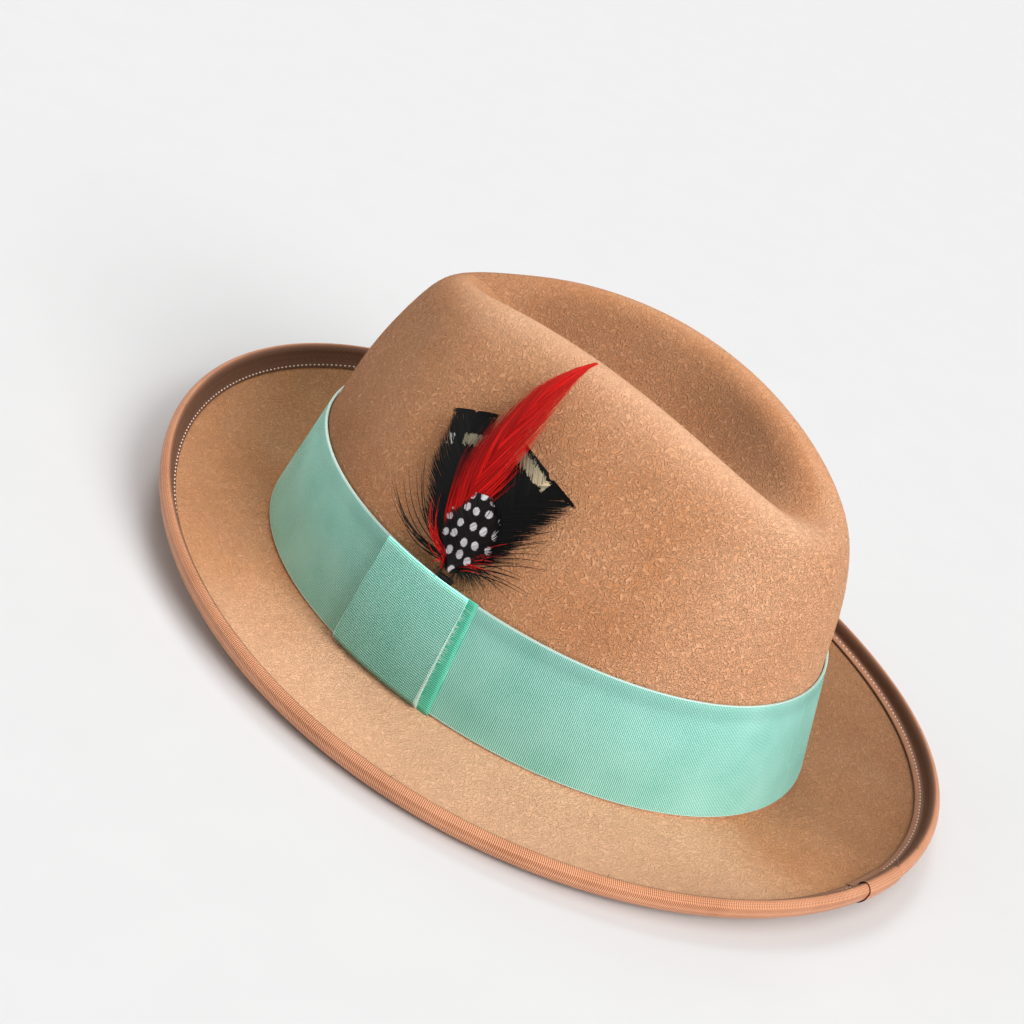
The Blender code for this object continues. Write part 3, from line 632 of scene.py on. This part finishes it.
def turkey_material(name, bar, across, pale, paler):
    """Black barbs with a short pale bar, given in mm as its middle along the shaft and its two ends across it."""
    made, tree, shader, marks, tint = feather_material(name, 0.22)
    tone = add(tree, "ShaderNodeMix", {0: tint, 6: linear("#020202"), 7: linear("#0C0B0A")}, data_type="RGBA")
    streak = add(tree, "ShaderNodeTexNoise", {"Vector": add(tree, "ShaderNodeTexCoord").outputs["Object"], "Scale": 700.0})
    uneven = add(tree, "ShaderNodeMath", {0: streak.outputs[0], 1: 2.0, 2: marks.outputs[0]}, operation="MULTIPLY_ADD")
    drift = add(tree, "ShaderNodeMath", {0: tint, 1: 1.2, 2: uneven.outputs[0]}, operation="MULTIPLY_ADD")
    along_bar = add(tree, "ShaderNodeMath", {0: drift.outputs[0], 1: bar + 1.6, 2: 1.7}, operation="COMPARE")
    across_bar = add(tree, "ShaderNodeMath", {0: marks.outputs[1], 1: sum(across) / 2, 2: (across[1] - across[0]) / 2}, operation="COMPARE")
    bar_mask = add(tree, "ShaderNodeMath", {0: along_bar.outputs[0], 1: across_bar.outputs[0]}, operation="MULTIPLY")
    shifted = add(tree, "ShaderNodeMapRange", {"Value": marks.outputs[1], "From Min": across[0], "From Max": across[1]})
    mix = add(tree, "ShaderNodeMath", {0: tint, 1: shifted.outputs[0]}, operation="MULTIPLY")
    bar_tone = add(tree, "ShaderNodeMix", {0: mix.outputs[0], 6: linear(pale), 7: linear(paler)}, data_type="RGBA")
    mixed = add(tree, "ShaderNodeMix", {0: bar_mask.outputs[0], 6: tone.outputs[2], 7: bar_tone.outputs[2]}, data_type="RGBA")
    near_edge = add(tree, "ShaderNodeMath", {0: marks.outputs[1], 1: across[0] - 4.5, 2: 1.2}, operation="COMPARE")
    single = add(tree, "ShaderNodeMath", {0: tint, 1: 0.72}, operation="GREATER_THAN")
    few = add(tree, "ShaderNodeMath", {0: near_edge.outputs[0], 1: single.outputs[0]}, operation="MULTIPLY")
    streak_mask = add(tree, "ShaderNodeMath", {0: few.outputs[0], 1: along_bar.outputs[0]}, operation="MULTIPLY")
    streaked = add(tree, "ShaderNodeMix", {0: streak_mask.outputs[0], 6: mixed.outputs[2], 7: linear("#CFCBC0")}, data_type="RGBA")
    tree.links.new(streaked.outputs[2], shader.inputs["Base Color"])
    return made


front_black = turkey_material("turkey_barbs_front", 39.0, (-1.5, 7.5), "#8A846C", "#C9C0A6")
back_black = turkey_material("turkey_barbs_back", 39.0, (-14.0, 1.8), "#7E7A64", "#F4D8B0")

red_barbs, tree, shader, marks, tint = feather_material("dyed_hackle_barbs", 0.2)
# Painted light and shade on the hackle: a brighter red towards the feather's tip and the barbs' ends, a painted
# highlight, and a deep red along its left side, a painted shade.
tone = add(tree, "ShaderNodeMix", {0: tint, 6: linear("#8A0000"), 7: linear("#E81410")}, data_type="RGBA")
to_tip = add(tree, "ShaderNodeMapRange", {"Value": marks.outputs[0], "From Min": 20.0, "From Max": 75.0, "To Max": 0.75})
tipped = add(tree, "ShaderNodeMath", {0: to_tip.outputs[0], 1: marks.outputs[2]}, operation="MULTIPLY")
lit = add(tree, "ShaderNodeMix", {0: tipped.outputs[0], 6: tone.outputs[2], 7: linear("#F03A30")}, data_type="RGBA")
shadowed = add(tree, "ShaderNodeMapRange", {"Value": marks.outputs[1], "From Min": -7.5, "From Max": -2.5, "To Min": 0.8, "To Max": 0.0})
shaded_red = add(tree, "ShaderNodeMix", {0: shadowed.outputs[0], 6: lit.outputs[2], 7: linear("#4E0000")}, data_type="RGBA")
tree.links.new(shaded_red.outputs[2], shader.inputs["Base Color"])

guinea_barbs, tree, shader, marks, tint = feather_material("guinea_barbs_spotted", 0.25)
flat_place = add(tree, "ShaderNodeCombineXYZ", {0: add(tree, "ShaderNodeMath", {0: marks.outputs[0], 1: 0.82}, operation="MULTIPLY").outputs[0], 1: marks.outputs[1], 2: 0.0})
dots = add(tree, "ShaderNodeTexVoronoi", {"Vector": flat_place.outputs[0], "Scale": 1 / 3.9, "Randomness": 0.3}, voronoi_dimensions="2D")
dot = add(tree, "ShaderNodeMapRange", {"Value": dots.outputs["Distance"], "From Min": 0.25, "From Max": 0.30, "To Min": 1.0, "To Max": 0.0})
tone = add(tree, "ShaderNodeMix", {0: tint, 6: linear("#060506"), 7: linear("#1C1314")}, data_type="RGBA")
white = add(tree, "ShaderNodeMix", {0: tint, 6: linear("#B9B2B6"), 7: linear("#EDE9EC")}, data_type="RGBA")
mixed = add(tree, "ShaderNodeMix", {0: dot.outputs[0], 6: tone.outputs[2], 7: white.outputs[2]}, data_type="RGBA")
tree.links.new(mixed.outputs[2], shader.inputs["Base Color"])

turkey_front, shaft_1 = feather("turkey_barbs_front", "turkey_feather_front", [(0, -1), (15, -8.4), (29, -15.4), (42.8, -21.6)],
    ([1.5, 9.5, 10.5, 7.5], [1.5, 6, 8, 6.5]), 0.30, (2.5, 3.5, 4, 4), 260, 0.30, front_black, stray=0.6)
turkey_back, shaft_2 = feather("turkey_barbs_back", "turkey_feather_back", [(0, 1), (13, 4), (27, 7), (40, 10.5)],
    ([1.5, 7, 10, 12.5], [1.5, 8, 10, 10.5]), 0.30, (3, 4.2, 4.6, 4.6), 260, 0.30, back_black, stray=0.5)
hackle, shaft_3 = feather("hackle_barbs", "hackle_feather", [(0, -2), (15, -6.0), (30, -6.9), (45, -7.2), (60, -5.6), (74.2, -2.2)],
    ([2, 7.5, 7.4, 4.6, 3.2, 0.3], [2, 6.5, 7.0, 5.4, 3.2, 0.3]), 0.34, (4, 5.2, 6, 7, 8, 8.6), 210, 0.24, red_barbs,
    ragged=0.30, layers=3, stray=1.0)
guinea, shaft_4 = feather("guinea_barbs", "guinea_feather", [(0, 1), (9, 0.8), (17, -0.2), (24.5, -2.4)],
    ([2.5, 8, 8.3, 6.8, 2.6], [2.5, 8.5, 8.6, 7.0, 2.6]), 0.34, (5, 6.4, 6.8, 6.4), 150, 0.32, guinea_barbs, ragged=0.08, stray=0.4)

# Shafts: each feather's horn rib, seen between its barbs.
dark_horn, tree, shader = new_material("feather_shaft_horn", 0.35)
shader.inputs["Base Color"].default_value = linear("#241812")
shafts = strands("feather_shafts", np.array([shaft_1, shaft_2, shaft_4]), np.array([0.0005, 0.0005, 0.0004]), OUT, dark_horn)
red_shaft = strands("hackle_shaft", np.array([shaft_3]), np.array([0.0005]), OUT, red_barbs, lay=np.zeros((1, 12, 3)))

# Wisps: loose black and red hackle barbs and dark fluff that stand out at the plume's foot. Each is given in mm as
# where its tip lies, up the crown and back along it.
BLACK_TIPS = [(7.8, -29.1), (6.1, -23.6), (11.9, -33.5), (17.4, -30.8), (8.4, -30), (24.1, -27.8), (20.5, -26.6), (3.5, -19),
    (28.3, 23), (29.1, 21.6), (22.4, 20.1), (16.4, 18.7), (13.6, 20.9), (11.3, 19.6), (7.3, 20.6), (18.5, 22.5), (9.0, 23.2), (5.0, 17.5)]
RED_TIPS = [(17, -16.5), (9.5, 11.8), (13.5, -14.5), (8.0, -9.5), (12.0, 10.0), (5.5, 9.0), (15.5, 9.5), (-0.5, -6.5)]


def wisps(name, tips, width, lift, finish, copies=1, bow_out=0.22, scatter=1.0):
    """Thin curved barbs from the plume's foot to the tips, bowed outwards."""
    paths = []
    for u, v in tips:
        for _ in range(copies):
            u_end, v_end = u + chance.normal() * scatter, v + chance.normal() * scatter
            u0, v0 = 1.5 + chance.random() * 3, np.sign(v_end) * (1 + chance.random() * 2)
            path = []
            for t in np.linspace(0, 1, 12):
                away = sin(pi * t) * bow_out * np.hypot(u_end - u0, v_end - v0) * 0.5
                u_now, v_now = u0 + (u_end - u0) * t + away * (-0.9 if v_end < 0 else 0.6), v0 + (v_end - v0) * t + away * 0.25 * np.sign(v_end)
                path.append(over_felt(u_now, v_now, 1.5 + lift * sin(pi * min(t * 0.75 + 0.1, 1))))
            paths.append(path)
    count = len(paths)
    lay = np.zeros((count, 12, 3))
    return strands(name, np.array(paths), np.full(count, width / 1000), OUT, finish, lay=lay)


fluff_tips = [(2.2, 9.5), (4, 12.1), (0.8, 12.2), (-0.5, 7.1), (1.0, 8.5), (3.0, 7.0), (0.5, 5.0), (0.0, 10.5), (-2.5, -2), (-2.5, 1), (-2, 3.5), (-1, 6)]
fluff_dark, tree, shader = new_material("dark_green_fluff", 0.7, Specular_IOR_Level=0.2)
shader.inputs["Base Color"].default_value = linear("#1B211B")
black_wisps = wisps("black_wisps", BLACK_TIPS, 0.34, 3.2, front_black, copies=2, scatter=1.4)
red_wisps = wisps("red_wisps", RED_TIPS, 0.26, 5.5, red_barbs, copies=4, scatter=1.5)
fluff = wisps("foot_fluff", fluff_tips, 0.16, 3.5, fluff_dark, copies=14, bow_out=0.5, scatter=1.6)

# Quills: horn, bound flat with dark thread. They show by a millimetre over the bow.
horn, tree, shader = new_material("thread_bound_quill", 0.5)
place = add(tree, "ShaderNodeSeparateXYZ", {0: add(tree, "ShaderNodeTexCoord").outputs["Object"]})
turns = add(tree, "ShaderNodeMath", {0: add(tree, "ShaderNodeMath", {0: place.outputs[2], 1: 2 * pi / 0.0005}, operation="MULTIPLY").outputs[0]}, operation="SINE")
tone = add(tree, "ShaderNodeMix", {0: turns.outputs[0], 6: linear("#0F0B0A"), 7: linear("#2E241C")}, data_type="RGBA")
tree.links.new(tone.outputs[2], shader.inputs["Base Color"])
stem = copy_of("feather_stem", "bound_quills", 0.0004, 2)
stem.data.materials.append(horn)
